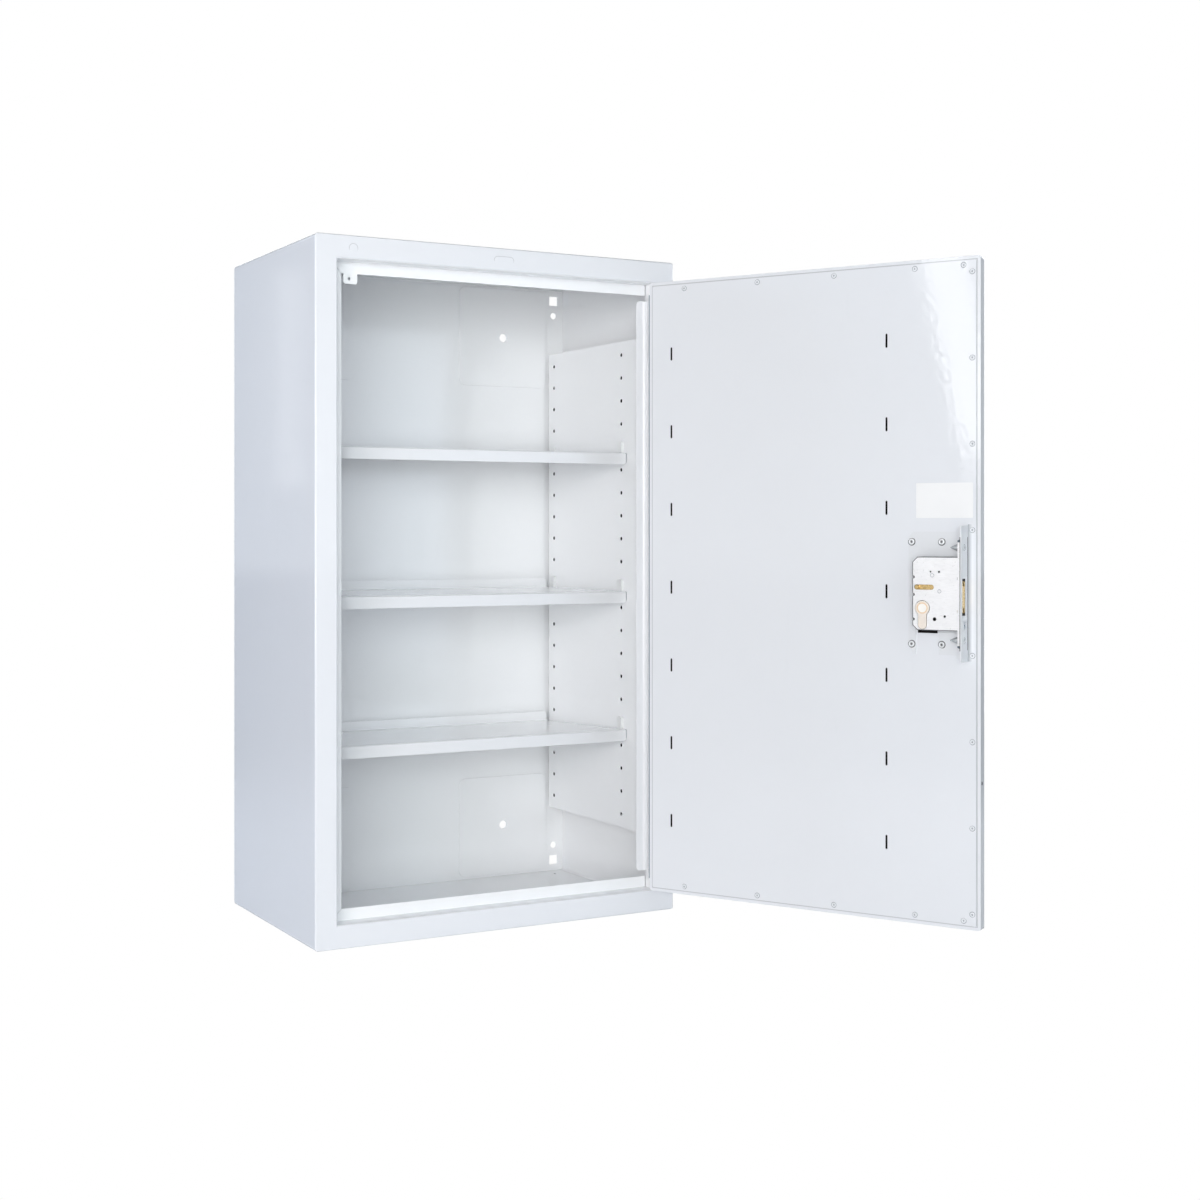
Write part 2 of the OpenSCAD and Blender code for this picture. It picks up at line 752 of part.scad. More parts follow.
// Angle on the lining that carries the lock case by its forend
module lock_bracket() color("gainsboro") door_swing() difference() {
    union() {
        w_slab(0, base_t) translate([0, lock_z]) bracket_outline();
        u_slab(flange_u - flange_t, flange_u) translate([0, lock_z - flange_h / 2])
            square([flange_w, flange_h]);
    }
    w_slab(-1, base_t + 1) {
        euro(1);
        for (u = rivet_u, z = [-1, 1])
            translate([u, lock_z + z * rivet_dz]) circle(d = rivet_d);
    }
    u_slab(flange_u - 2 * flange_t, flange_u + 1) {
        translate([bolt_mid_w, bolt_z]) square([bolt_t + 2 * window_side + 0.6,
            bolt_h + 2 * window_end + 1.4], center = true);
        translate([cam_mid, cyl_screw_z]) obround(8.5, 10);
    }
    for (z = [-1, 1]) {
        u_cone(flange_u - flange_t - 0.1, flange_u + 0.1, screw_w,
            lock_z + z * forend_screws_dz / 2, screw_d + 0.3, screw_head_d + 0.3);
    }
}

// Outline of the bracket's base: cut away in steps at the ends and up under the case
module bracket_outline() {
    step_u = flange_u - base_step;
    difference() {
        polygon([[base_u0, base_dz - 6], [base_u0 + 6, base_dz], [step_u, base_dz],
            [step_u + 4, flange_h / 2], [flange_u, flange_h / 2],
            [flange_u, -flange_h / 2], [step_u + 4, -flange_h / 2], [step_u, -base_dz],
            [base_u0 + 6, -base_dz], [base_u0, -base_dz + 10]]);
        translate([cyl_u - notch_back, -flange_h])
            square([notch_back + notch_front, flange_h + cyl_z - lock_z]);
    }
}

module bracket_rivets() color("silver") door_swing() for (u = rivet_u, z = [-1, 1])
    difference() {
        union() {
            w_cone(base_t, base_t + rivet_head_t, u, lock_z + z * rivet_dz,
                rivet_head_d, rivet_head_d - 2.4);
            w_cone(0, base_t, u, lock_z + z * rivet_dz, rivet_d, rivet_d);
        }
        w_cone(0.4, base_t + 2 * rivet_head_t, u, lock_z + z * rivet_dz,
            rivet_bore, rivet_bore);
    }

module case_outline(inset) {
    c = case_chamfer - 0.586 * inset;
    polygon([[case_u0 + inset + c, case_z1 - inset], [case_u1, case_z1 - inset],
        [case_u1, case_z0 + inset], [case_u0 + inset + c, case_z0 + inset],
        [case_u0 + inset, case_z0 + inset + c], [case_u0 + inset, case_z1 - inset - c]]);
}

module lock_case() color("silver") door_swing() difference() {
    w_slab(case_w0, cover_w) case_outline(0);
    w_slab(case_w0 + case_wall, cover_w + 1) {
        case_outline(case_wall);
        translate([case_u1 - 1, case_z0 + case_wall]) square([2, case_h - 2 * case_wall]);
    }
    w_slab(case_w0 - 1, case_w1) euro(0.5);
    w_slab(case_w0 - 1, case_w0 + 2 * case_wall)
        translate([collar_u, collar_z]) circle(d = collar_bore);
    u_slab(case_u0 - 1, case_u0 + 2 * case_wall)
        translate([cam_mid, cyl_z]) square([cam_slot_w + 1, 2 * cyl_r], center = true);
}

module case_cover() color("silver") door_swing() difference() {
    w_slab(cover_w, case_w1) difference() {
        case_outline(0);
        euro(0.6);
        translate([guide_u + bolt_throw / 2, guide_z])
            obround(bolt_throw + guide_slot_h, guide_slot_h);
        translate([collar_u, collar_z]) circle(d = collar_bore);
        for (h = cover_holes) translate([cyl_u + h[0], cyl_z + h[1]]) circle(d = h[2]);
        for (z = edge_hole_z) translate([case_u0 + 1, cyl_z + z]) circle(d = edge_hole_d);
        for (z = notch_z) translate([case_u1, cyl_z + z]) square(notch_size, center = true);
    }
    w_slab(cover_w - 1, case_w1 + 1) translate([post_u, post_z]) circle(d = post_d - 1);
    w_slab(case_w1 - 0.4, case_w1 + 1) translate([cyl_u + ring_u, cyl_z + ring_z]) difference() {
        circle(d = post_d);
        circle(d = post_d - 1);
    }
}

// Shouldered post riveted through the cover, and a collar round the through hole
module case_posts() color("silver") door_swing() {
    w_slab(case_w0 + case_wall, cover_w) {
        translate([post_u, post_z]) circle(d = post_d + 1);
        translate([collar_u, collar_z]) difference() {
            circle(d = collar_d);
            circle(d = collar_bore);
        }
    }
    w_slab(cover_w, case_w1 + 0.3) translate([post_u, post_z]) circle(d = post_d - 1);
}

module lock_forend() color("silver") door_swing() difference() {
    u_slab(case_u1, forend_u) difference() {
        translate([case_w0, lock_z - forend_h / 2]) square([case_t + 1.8, forend_h]);
        translate([bolt_mid_w, bolt_z]) square([bolt_t + 2 * window_side,
            bolt_h + 2 * window_end], center = true);
        translate([cam_mid, cyl_screw_z]) circle(d = cyl_screw_d + 0.3);
        for (z = [-1, 1])
            translate([screw_w, lock_z + z * forend_screws_dz / 2]) circle(d = screw_d);
    }
    for (z = [-1, 1]) translate([hinge_edge_x - case_u1, door_in_y, lock_z + z * forend_h / 2])
        rotate([0, z * 25, 0]) cube([2 * forend_t, 4 * case_t, 2 * forend_t], center = true);
}

module forend_screws() color("silver") door_swing() for (z = [-1, 1])
    screw_at(lock_z + z * forend_screws_dz / 2);

// Countersunk screw with a cross recess and a long point
module screw_at(z) difference() {
    union() {
        u_cone(case_u1 - screw_tip, case_u1 - screw_tip / 2, screw_w, z, 0.6, screw_d);
        u_cone(case_u1 - screw_tip / 2, flange_u - flange_t, screw_w, z, screw_d, screw_d);
        u_cone(flange_u - flange_t, flange_u, screw_w, z, screw_d, screw_head_d);
        u_cone(flange_u, flange_u + 0.4, screw_w, z, screw_head_d, screw_head_d - 1.6);
    }
    for (turn = [45, 135])
        translate([hinge_edge_x - flange_u, door_in_y + screw_w, z]) rotate([turn, 0, 0])
            cube([2.4, 0.9, 4.6], center = true);
}

module cylinder_body() color("goldenrod") door_swing() difference() {
    w_slab(cyl_w0, cyl_w1) euro(0);
    w_cone(cyl_w0 - 1, cam_mid, cyl_u, cyl_z, plug_d + 2 * run_fit, plug_d + 2 * run_fit);
    w_slab(cam_mid - cam_slot_w / 2, cam_mid + cam_slot_w / 2)
        translate([cyl_u, cyl_z]) circle(r = cam_slot_r);
    u_cone(cyl_u - 2 * tail_r, cyl_u + 2 * tail_r, cam_mid, cyl_screw_z,
        cyl_screw_d, cyl_screw_d);
}

// Long screw through the forend that holds the cylinder
module cylinder_screw() color("silver") door_swing() difference() {
    union() {
        u_cone(cyl_u - tail_r, forend_u, cam_mid, cyl_screw_z, cyl_screw_d, cyl_screw_d);
        u_cone(forend_u, forend_u + 1.6, cam_mid, cyl_screw_z, 7.6, 7);
    }
    translate([hinge_edge_x - forend_u - 1.6, door_in_y + cam_mid, cyl_screw_z])
        rotate([0, 90, 0]) cylinder(d = 3, h = 2.4, center = true);
}

module cylinder_plug() color("gold") door_swing() difference() {
    union() {
        w_cone(cyl_w0, cam_mid - cam_w / 2, cyl_u, cyl_z, plug_d, plug_d);
        w_cone(cam_mid - cam_w / 2, cam_mid + cam_w / 2, cyl_u, cyl_z, cam_hub_d, cam_hub_d);
    }
    w_slab(cyl_w0 - 1, cyl_w0 + key_depth) translate([cyl_u, cyl_z]) obround(key_t, key_h);
}

module cylinder_cam() color("silver") door_swing()
    w_slab(cam_mid - cam_w / 2, cam_mid + cam_w / 2) translate([cyl_u, cyl_z]) difference() {
        union() {
            circle(r = cyl_r - 0.3);
            intersection() {
                circle(r = cam_reach);
                translate([-cam_finger / 2, -cam_reach]) square([cam_finger, cam_reach]);
            }
        }
        circle(d = cam_hub_d);
    }

// Brass bolt with a tail over the cam and a slot in each end for a claw
module lock_bolt() color("gold") door_swing() difference() {
    union() {
        u_slab(bolt_back_u, bolt_face_u) translate([bolt_mid_w, bolt_z])
            round_rect(bolt_t, bolt_h, bolt_r);
        w_slab(tail_w0, tail_w1) translate([guide_u - 3.2, bolt_tail_z0])
            square([bolt_back_u - guide_u + 3.3, bolt_tail_z1 - bolt_tail_z0]);
    }
    w_slab(bolt_mid_w - claw_slot / 2, bolt_mid_w + claw_slot / 2) for (s = [-1, 1])
        translate([claw_u - claw_r - slide_gap, bolt_z + s * (bolt_h / 2)])
            translate([0, s > 0 ? -claw_in - claw_r - slide_gap : -1])
                square([claw_len + 3, claw_in + claw_r + slide_gap + 1]);
    w_slab(bolt_w0 - 1, bolt_w1 + 1) claw_places() circle(d = claw_pin_d);
    w_slab(tail_w0 - 1, tail_w1 + 1) translate([guide_u, guide_z]) circle(d = guide_d - 1);
}

module claw_places() {
    for (z = [claw_z0, claw_z1]) translate([claw_u, z]) children();
}

module guide_pin() color("gold") door_swing() {
    w_cone(tail_w0, tail_w1, guide_u, guide_z, guide_d - 1, guide_d - 1);
    w_cone(tail_w1, case_w1 + 0.4, guide_u, guide_z, guide_d, guide_d);
}

module claw_pins() color("silver") door_swing()
    w_slab(bolt_w0, bolt_w1) claw_places() circle(d = claw_pin_d);

module claw(z) color("silver") door_swing()
    w_slab(bolt_mid_w - claw_t / 2, bolt_mid_w + claw_t / 2) translate([claw_u, z])
        difference() {
            union() {
                circle(r = claw_r);
                translate([0, -claw_r]) square([claw_len - claw_r, 2 * claw_r]);
                translate([claw_len - claw_r, 0]) circle(r = claw_r);
            }
            circle(d = claw_pin_d + 2 * run_fit);
        }

module upper_claw() claw(claw_z1);

module lower_claw() claw(claw_z0);

body_wrap();
back_panel();
wall_plates();
stop_frame();
hinge_stop();
left_liner();
right_liner();
round_plug();
slot_plug();
keep_plate();
top_shelf();
middle_shelf();
bottom_shelf();
top_clips();
middle_clips();
bottom_clips();
hinge_frame_leaf();
hinge_pin();
hinge_door_leaf();
door_pan();
door_lining();
lining_rivets();
escutcheon();
lock_bracket();
bracket_rivets();
lock_case();
case_cover();
case_posts();
lock_forend();
forend_screws();
cylinder_body();
cylinder_screw();
cylinder_plug();
cylinder_cam();
lock_bolt();
guide_pin();
claw_pins();
upper_claw();
lower_claw();
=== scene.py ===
import json
import math

import bmesh
import bpy
from mathutils import Matrix, Quaternion, Vector

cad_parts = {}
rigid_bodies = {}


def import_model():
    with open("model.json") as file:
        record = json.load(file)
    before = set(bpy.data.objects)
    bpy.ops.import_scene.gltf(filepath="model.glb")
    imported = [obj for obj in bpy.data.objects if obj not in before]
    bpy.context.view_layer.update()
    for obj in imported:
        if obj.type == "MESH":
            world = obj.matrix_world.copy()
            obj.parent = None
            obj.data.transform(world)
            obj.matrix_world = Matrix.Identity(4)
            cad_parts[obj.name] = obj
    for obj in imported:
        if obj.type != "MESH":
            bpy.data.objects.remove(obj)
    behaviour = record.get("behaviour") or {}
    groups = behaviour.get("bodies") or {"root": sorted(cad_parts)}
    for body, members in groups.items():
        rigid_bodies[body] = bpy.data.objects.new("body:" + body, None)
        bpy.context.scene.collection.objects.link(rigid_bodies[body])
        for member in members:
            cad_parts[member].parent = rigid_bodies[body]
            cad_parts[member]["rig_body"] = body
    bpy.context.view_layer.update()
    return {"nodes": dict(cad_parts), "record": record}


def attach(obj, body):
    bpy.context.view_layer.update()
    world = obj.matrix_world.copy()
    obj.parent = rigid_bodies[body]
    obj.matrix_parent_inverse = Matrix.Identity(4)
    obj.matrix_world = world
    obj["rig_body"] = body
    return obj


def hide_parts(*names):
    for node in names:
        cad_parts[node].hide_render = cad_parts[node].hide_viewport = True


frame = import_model()


# ---- Camera --------------------------------------------------------------------
# A level camera to the left of the cabinet, with a short telephoto lens. The lens is
# shifted, so the cabinet sits low and to the right of the lens's axis.
camera_data = bpy.data.cameras.new("camera")
camera_data.sensor_width = 36.0
camera_data.lens = 52.2
camera_data.shift_x = 0.04763
camera_data.shift_y = -0.05694
camera = bpy.data.objects.new("camera", camera_data)
camera.location = (-0.986, -2.2343, 0.0714)
camera.rotation_euler = (math.radians(90), 0, math.radians(-28.287))
bpy.context.scene.collection.objects.link(camera)
bpy.context.scene.camera = camera
bpy.context.scene.view_settings.view_transform = "Standard"


# ---- Shell ---------------------------------------------------------------------
# One steel sheet makes the walls, the face round the door and the jamb. It is sprayed
# white and baked: a glossy film with the fine dimples of orange peel, a little thicker
# in some places, over a sheet that is never quite flat.
class Value:
    """A shader socket that can be reckoned with: each sign adds a Math node."""

    def __init__(self, tree, socket):
        self.tree, self.socket = tree, socket

    def math(self, operation, first, second=None, clamp=False):
        node = self.tree.nodes.new("ShaderNodeMath")
        node.operation, node.use_clamp = operation, clamp
        for slot, value in zip(node.inputs, (first, second)):
            if isinstance(value, Value):
                self.tree.links.new(value.socket, slot)
            elif value is not None:
                slot.default_value = value
        return Value(self.tree, node.outputs[0])

    def __add__(self, other):
        return self.math("ADD", self, other)

    __radd__ = __add__

    def __sub__(self, other):
        return self.math("SUBTRACT", self, other)

    def __rsub__(self, other):
        return self.math("SUBTRACT", other, self)

    def __mul__(self, other):
        return self.math("MULTIPLY", self, other)

    __rmul__ = __mul__

    def __truediv__(self, other):
        return self.math("DIVIDE", self, other)

    def __gt__(self, other):
        return self.math("GREATER_THAN", self, other)

    def __lt__(self, other):
        return self.math("LESS_THAN", self, other)

    def __abs__(self):
        return self.math("ABSOLUTE", self)

    def clamped(self):
        return self.math("ADD", self, 0.0, clamp=True)

    def root(self):
        return self.math("SQRT", self)


class Shader:
    """The node tree of a material or of the world, with the nodes used most."""

    def __init__(self, owner):
        owner.use_nodes = True
        self.owner, self.tree = owner, owner.node_tree
        self.place = self.add("ShaderNodeTexCoord", out="Object")

    def feed(self, socket, value):
        if isinstance(value, Value):
            self.tree.links.new(value.socket, socket)
        elif isinstance(value, tuple) and socket.type == "RGBA":
            socket.default_value = (*value, 1.0)
        else:
            socket.default_value = value

    def add(self, kind, sockets=None, out=0, **settings):
        node = self.tree.nodes.new(kind)
        for name, value in settings.items():
            setattr(node, name, value)
        for name, value in (sockets or {}).items():
            self.feed(node.inputs[name], value)
        return Value(self.tree, node.outputs[out])

    def axis(self, letter):
        return self.add("ShaderNodeSeparateXYZ", {"Vector": self.place}, out=letter)

    def along(self, origin, direction):
        """Distance from a place along a direction, in metres."""
        aside = self.add("ShaderNodeVectorMath", {0: self.place, 1: tuple(origin)},
                         out="Vector", operation="SUBTRACT")
        return self.add("ShaderNodeVectorMath", {0: aside, 1: tuple(direction)},
                        out="Value", operation="DOT_PRODUCT")

    def grain(self, scale, detail=2.0, rough=0.5, stretch=(1, 1, 1), shift=(0, 0, 0)):
        """Even noise from 0 to 1, as many patches to the metre as its scale says."""
        at = self.add("ShaderNodeMapping", {"Vector": self.place, "Scale": stretch,
                                            "Location": shift}, out="Vector")
        return self.add("ShaderNodeTexNoise", {"Vector": at, "Scale": scale,
                        "Detail": detail, "Roughness": rough}, out="Fac")

    def band(self, value, low, high):
        """0 below the low limit, 1 over the high one, and a slope between them."""
        return self.add("ShaderNodeMapRange", {"Value": value, "From Min": low,
                                               "From Max": high}, out="Result")

    def away(self, spot):
        """Distance from one place, in metres."""
        return self.add("ShaderNodeVectorMath", {0: self.place, 1: spot}, out="Value",
                        operation="DISTANCE")

    def within(self, *spans):
        """1 where each value lies between its two limits, and 0 elsewhere."""
        share = 1.0
        for value, low, high in spans:
            if low is not None:
                share = (value > low) * share
            if high is not None:
                share = (value < high) * share
        return share

    def mix(self, amount, first, second):
        """Two colours mixed; the sockets 0, 6 and 7 and the output 2 are the colour's."""
        return self.add("ShaderNodeMix", {0: amount, 6: first, 7: second}, out=2,
                        data_type="RGBA")

    def bump(self, height, distance, under=None):
        sockets = {"Height": height, "Strength": 1.0, "Distance": distance}
        if under is not None:
            sockets["Normal"] = under
        return self.add("ShaderNodeBump", sockets, out="Normal")

    def set(self, **values):
        for name, value in values.items():
            self.feed(self.tree.nodes["Principled BSDF"].inputs[name.replace("_", " ")],
                      value)
        return self.owner


def darker(colour, share):
    return tuple(channel * share for channel in colour)


def powder_coat(name, colour, rough, peel=1.4e-5, zones=()):
    """Sprayed paint. Each zone gives a colour and a function for the share it takes."""
    coat = Shader(bpy.data.materials.new(name))
    cloud = coat.grain(3.5, detail=3.0)
    speck = coat.band(coat.grain(260.0, rough=0.6), 0.735, 0.775)
    rub = coat.grain(34.0, detail=5.0, rough=0.72, stretch=(1, 1, 0.16))
    rub = coat.band(rub, 0.64, 0.76)
    dent_depth = 2.5e-4
    normal = coat.bump(coat.grain(4.5, detail=1.0, shift=(3, 1, 2)), dent_depth)
    normal = coat.bump(coat.grain(140.0, detail=0.0), peel, under=normal)
    shade = coat.mix(coat.band(cloud, 0.35, 0.75) * 0.3, colour, darker(colour, 0.965))
    shade = coat.mix(speck * 0.12 + rub * 0.05, shade, darker(colour, 0.72))
    gloss = rough + (cloud - 0.5) * 0.05 + rub * 0.10 + speck * 0.15
    for tint, share in zones:
        shade = coat.mix(share(coat), shade, tint)
    return coat.set(Base_Color=shade, Roughness=gloss, IOR=1.5, Normal=normal)


def formed(node, material, edge, segments=2, drawn=None):
    """A copy of a CAD node with its sharp edges broken, which stands for that node.

    Edge is the bevel's width in metres, and drawn a function that reshapes the copy.
    """
    source = frame["nodes"][node]
    shape = bmesh.new()
    shape.from_mesh(source.data)
    bmesh.ops.remove_doubles(shape, verts=shape.verts, dist=3e-6)
    bmesh.ops.dissolve_limit(shape, angle_limit=math.radians(0.6), verts=shape.verts,
                             edges=shape.edges, use_dissolve_boundaries=False)
    if drawn:
        drawn(shape)
    for face in shape.faces:
        face.smooth = True
    mesh = bpy.data.meshes.new(node + "_formed")
    shape.to_mesh(mesh)
    shape.free()
    piece = bpy.data.objects.new(node + "_formed", mesh)
    bpy.context.scene.collection.objects.link(piece)
    bevel = piece.modifiers.new("bevel", "BEVEL")
    bevel.width, bevel.segments = edge, segments
    bevel.limit_method, bevel.angle_limit = "ANGLE", math.radians(35)
    bevel.miter_outer = "MITER_ARC"
    even = piece.modifiers.new("even", "WEIGHTED_NORMAL")
    even.weight = 80
    settle(piece, material)
    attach(piece, source["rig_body"])
    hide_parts(node)
    return piece


def settle(piece, material=None):
    """Turns what the modifiers make into the piece's own plain mesh."""
    bpy.context.view_layer.update()
    graph = bpy.context.evaluated_depsgraph_get()
    mesh = bpy.data.meshes.new_from_object(piece.evaluated_get(graph))
    piece.modifiers.clear()
    piece.data = mesh
    if material:
        mesh.materials.clear()
        mesh.materials.append(material)


WHITE = (0.858, 0.874, 0.912)
# The inside is given a paler copy of the outside white: painted light that lifts the shaded
# inside of the cabinet.
PAINTED_LIGHT_INSIDE = (0.95, 0.96, 0.976)
# Near black: painted shade, for hollows where no light reaches.
PAINTED_SHADE_BLACK = (0.03, 0.028, 0.027)


def in_cabinet(coat):
    """All that lies under the outer skin of the walls, the ends and the face."""
    side_skin, end_skin, face_skin = 0.2492, 0.4242, -0.2992
    return coat.within((abs(coat.axis("X")), None, side_skin),
                       (abs(coat.axis("Z")), None, end_skin),
                       (coat.axis("Y"), face_skin, None))


def shade_behind_liner(coat):
    """Painted shade: near black behind the liners, and on the walls of their peg holes."""
    aside, depth, up = abs(coat.axis("X")), coat.axis("Y"), abs(coat.axis("Z"))
    hollow = (aside, 0.2222, 0.2487), (up, None, 0.3185)
    hole_walls = ((aside, 0.2217, 0.224),)
    return sum(coat.within((depth, front, back), *where) for front, back, where in (
        (-0.19, -0.13, hollow), (-0.0115, -0.009, hollow),
        (-0.0275, -0.0217, hole_walls), (-0.217, -0.211, hole_walls)))


# Inside the cabinet the shell takes the paler white of painted light.
shell_paint = powder_coat("shell_paint", WHITE, rough=0.09,
                          zones=[(PAINTED_LIGHT_INSIDE, in_cabinet), (PAINTED_SHADE_BLACK, shade_behind_liner)])
formed("body_wrap", shell_paint, edge=0.0004)


# ---- Plugs ---------------------------------------------------------------------
# Two pressed plugs fill the holes over the door, and are painted over with the shell.
# The paint has sunk into the seam round each, which shows as a faint ring.
def plug_seam(coat):
    plugs_z, round_x, slot_half = 0.4095, -0.2015, 0.00875
    beside, over = coat.axis("X"), coat.axis("Z") - plugs_z
    from_round = ((beside - round_x) * (beside - round_x) + over * over).root()
    past_slot = (abs(beside) - slot_half).clamped()
    from_slot = (past_slot * past_slot + over * over).root()
    return (coat.within((from_round, 0.0052, 0.0059))
            + coat.within((from_slot, 0.0045, 0.00515)))


plug_paint = powder_coat("plug_paint", WHITE, rough=0.2,
                         zones=[(darker(WHITE, 0.68), plug_seam)])
for node in ("round_plug", "slot_plug"):
    formed(node, plug_paint, edge=0.0003)


# ---- Back and inside -----------------------------------------------------------
# The flat back is welded in, with four plates spotted on behind the wall bolts. The
# liners hold the shelf pegs, and the stop runs round the opening behind the door.
# Behind the liners and in their peg holes the inside coat takes painted shade.
inside_paint = powder_coat("inside_paint", PAINTED_LIGHT_INSIDE, rough=0.13,
                           zones=[(PAINTED_SHADE_BLACK, shade_behind_liner)])
for node in ("back_panel", "wall_plates", "left_liner", "right_liner"):
    formed(node, inside_paint, edge=0.0003)
formed("stop_frame", inside_paint, edge=0.0005)
hinge_stop_paint = powder_coat("hinge_stop_paint", (0.89, 0.90, 0.925), rough=0.2)
formed("hinge_stop", hinge_stop_paint, edge=0.0008)


# ---- Keep ----------------------------------------------------------------------
# A zinc-plated angle behind the stop, where the claws of the bolt catch. The plating
# is bright but not a mirror: it has a grey bloom over fine drawing lines.
def plated(name, colour, rough, streak=(1, 1, 1), scale=180.0, metal=1.0, bloom=0.8,
           zones=()):
    """Plated or bare metal. Each zone gives a colour and a function for its share."""
    plate = Shader(bpy.data.materials.new(name))
    line = plate.grain(scale, detail=4.0, rough=0.6, stretch=streak)
    cloud = plate.grain(45.0, detail=4.0, rough=0.6)
    spot = plate.band(plate.grain(420.0), 0.66, 0.74)
    tone = plate.mix(plate.band(cloud, 0.3, 0.7), colour, darker(colour, bloom))
    tone = plate.mix(plate.band(line, 0.4, 0.8) * 0.3, tone, darker(colour, 0.7))
    tone = plate.mix(spot * 0.4, tone, darker(colour, 0.45))
    for tint, share in zones:
        tone = plate.mix(share(plate), tone, tint)
    scratch_depth = 1.5e-5
    return plate.set(
        Base_Color=tone, Metallic=metal,
        Roughness=rough + (line - 0.5) * 0.2 + (cloud - 0.5) * 0.12 + spot * 0.2,
        Normal=plate.bump(line, scratch_depth))


zinc = plated("zinc", (0.72, 0.74, 0.77), rough=0.30)
formed("keep_plate", zinc, edge=0.0003)


# ---- Shelves -------------------------------------------------------------------
# Three folded trays in the inside's paler coat, which is painted light; each has a lip and
# an upstand. The lip runs on past the clips, nearly to the liners. Its face is painted
# darker as painted shade, and its ends darker still as a painted shadow beside the liners.
tray = frame["nodes"]["top_shelf"]
shelf_front = min((tray.matrix_world @ vertex.co).y for vertex in tray.data.vertices)
shelf_half = max(vertex.co.x for vertex in tray.data.vertices)
lip_run, lip_depth, near_end = 0.0032, 0.0023, 0.21


def lengthen_lip(shape):
    front = min(vertex.co.y for vertex in shape.verts)
    for vertex in shape.verts:
        if vertex.co.y < front + lip_depth and abs(vertex.co.x) > near_end:
            vertex.co.x += math.copysign(lip_run, vertex.co.x)


# Painted shade on the lip's face.
def shaded_lip_face(coat):
    return coat.axis("Y") < shelf_front + 0.001


# A painted shadow on the lip's ends, beside the liners.
def lip_end_shadow(coat):
    return ((coat.axis("Y") < shelf_front + 0.0024)
            * (abs(coat.axis("X")) > shelf_half + 0.0023))


shelf_paint = powder_coat("shelf_paint", PAINTED_LIGHT_INSIDE, rough=0.13,
                          zones=[((0.805, 0.815, 0.835), shaded_lip_face),
                                 ((0.25, 0.27, 0.31), lip_end_shadow)])
for node in ("top_shelf", "middle_shelf", "bottom_shelf"):
    formed(node, shelf_paint, edge=0.0004, drawn=lengthen_lip)


# ---- Shelf clips ---------------------------------------------------------------
# Moulded clips plug into the liners. Each is a round-ended plate along the liner, with
# a peg behind it and a ledge that the shelf lies on.
def moulded(name, colour, rough):
    plastic = Shader(bpy.data.materials.new(name))
    cloud = plastic.grain(90.0, detail=3.0)
    scuff = plastic.band(plastic.grain(500.0, detail=3.0, rough=0.6), 0.64, 0.74)
    mould_texture = 8e-6
    return plastic.set(
        Base_Color=plastic.mix(plastic.band(cloud, 0.3, 0.7) * 0.4 + scuff * 0.3, colour,
                               darker(colour, 0.9)),
        Roughness=rough + (cloud - 0.5) * 0.1 + scuff * 0.1,
        Normal=plastic.bump(plastic.grain(900.0), mould_texture))


clip_plastic = moulded("clip_plastic", (0.87, 0.885, 0.89), rough=0.34)
for node in ("top_clips", "middle_clips", "bottom_clips"):
    formed(node, clip_plastic, edge=0.0007, segments=3)


# ---- Door ----------------------------------------------------------------------
# A shallow pan with turned-in lips, closed by a flat lining that is riveted on. The
# free edge has lost a flake of paint where the door is knocked.
swing = frame["record"]["behaviour"]["joints"][0]
turn = Matrix.Rotation(math.radians(-swing["range_deg"][0]), 3, "Z")
pivot = Vector(swing["pos_m"])
hinge_edge, lining_y = 0.2185, -0.284
door_width, half_height = 0.438, 0.3935
corner = pivot + turn @ (Vector((hinge_edge, lining_y, 0)) - pivot)
across, outward = turn @ Vector((-1, 0, 0)), turn @ Vector((0, 1, 0))
door_turn = Matrix((across, (0, 0, 1), outward)).transposed().to_4x4()
on_door = Matrix.Translation(corner) @ door_turn


def door_axes(coat):
    """Distances in metres from the hinge edge, from the middle and from the lining."""
    return coat.along(corner, across), coat.axis("Z"), coat.along(corner, outward)


def knocked(coat):
    """The flake of paint that is gone: a ragged spot about one place."""
    chip, chip_reach = on_door @ Vector((0.4376, -0.222, -0.006)), 0.0021
    ragged = (coat.grain(700.0, detail=3.0, rough=0.6) - 0.5) * 0.004
    return coat.away(tuple(chip)) + ragged < chip_reach


def shade_in_door(coat):
    """Painted shade in the hollow of the door, and on the walls of the lining's two columns
    of slots.
    """
    u, z, w = door_axes(coat)
    slot_reach, columns_end = 0.0013, 0.33
    columns = sum(coat.within((u, slot_u - slot_reach, slot_u + slot_reach))
                  for slot_u in (0.0324, 0.3232))
    return (coat.within((u, 0.002, 0.436), (abs(z), None, 0.3915), (w, -0.0147, -0.0014))
            + columns * coat.within((abs(z), None, columns_end), (w, -0.0015, -0.00015)))


def shadow_beside_flange(coat):
    """A painted shadow in the angle beside the lock's flange, fading over five millimetres.
    """
    u, z, w = door_axes(coat)
    dark_at, fades_over, reach_z = 0.4232, 0.005, 0.08
    fade = (1.0 - (u - dark_at) / fades_over).clamped()
    return fade * coat.within((u, 0.423, 0.43), (abs(z), None, reach_z), (w, -0.0005, None))


def lining_seam(coat):
    """The line beside the lining, where the paint has sunk in."""
    u, z, w = door_axes(coat)
    starts, ends, lining_depth = 0.0036, 0.0051, -0.00135
    aside, over = door_width / 2 - abs(u - door_width / 2), half_height - abs(z)
    return ((coat.within((aside, starts, ends), (over, starts, None))
             + coat.within((over, starts, ends), (aside, starts, None)))
            * (w > lining_depth))


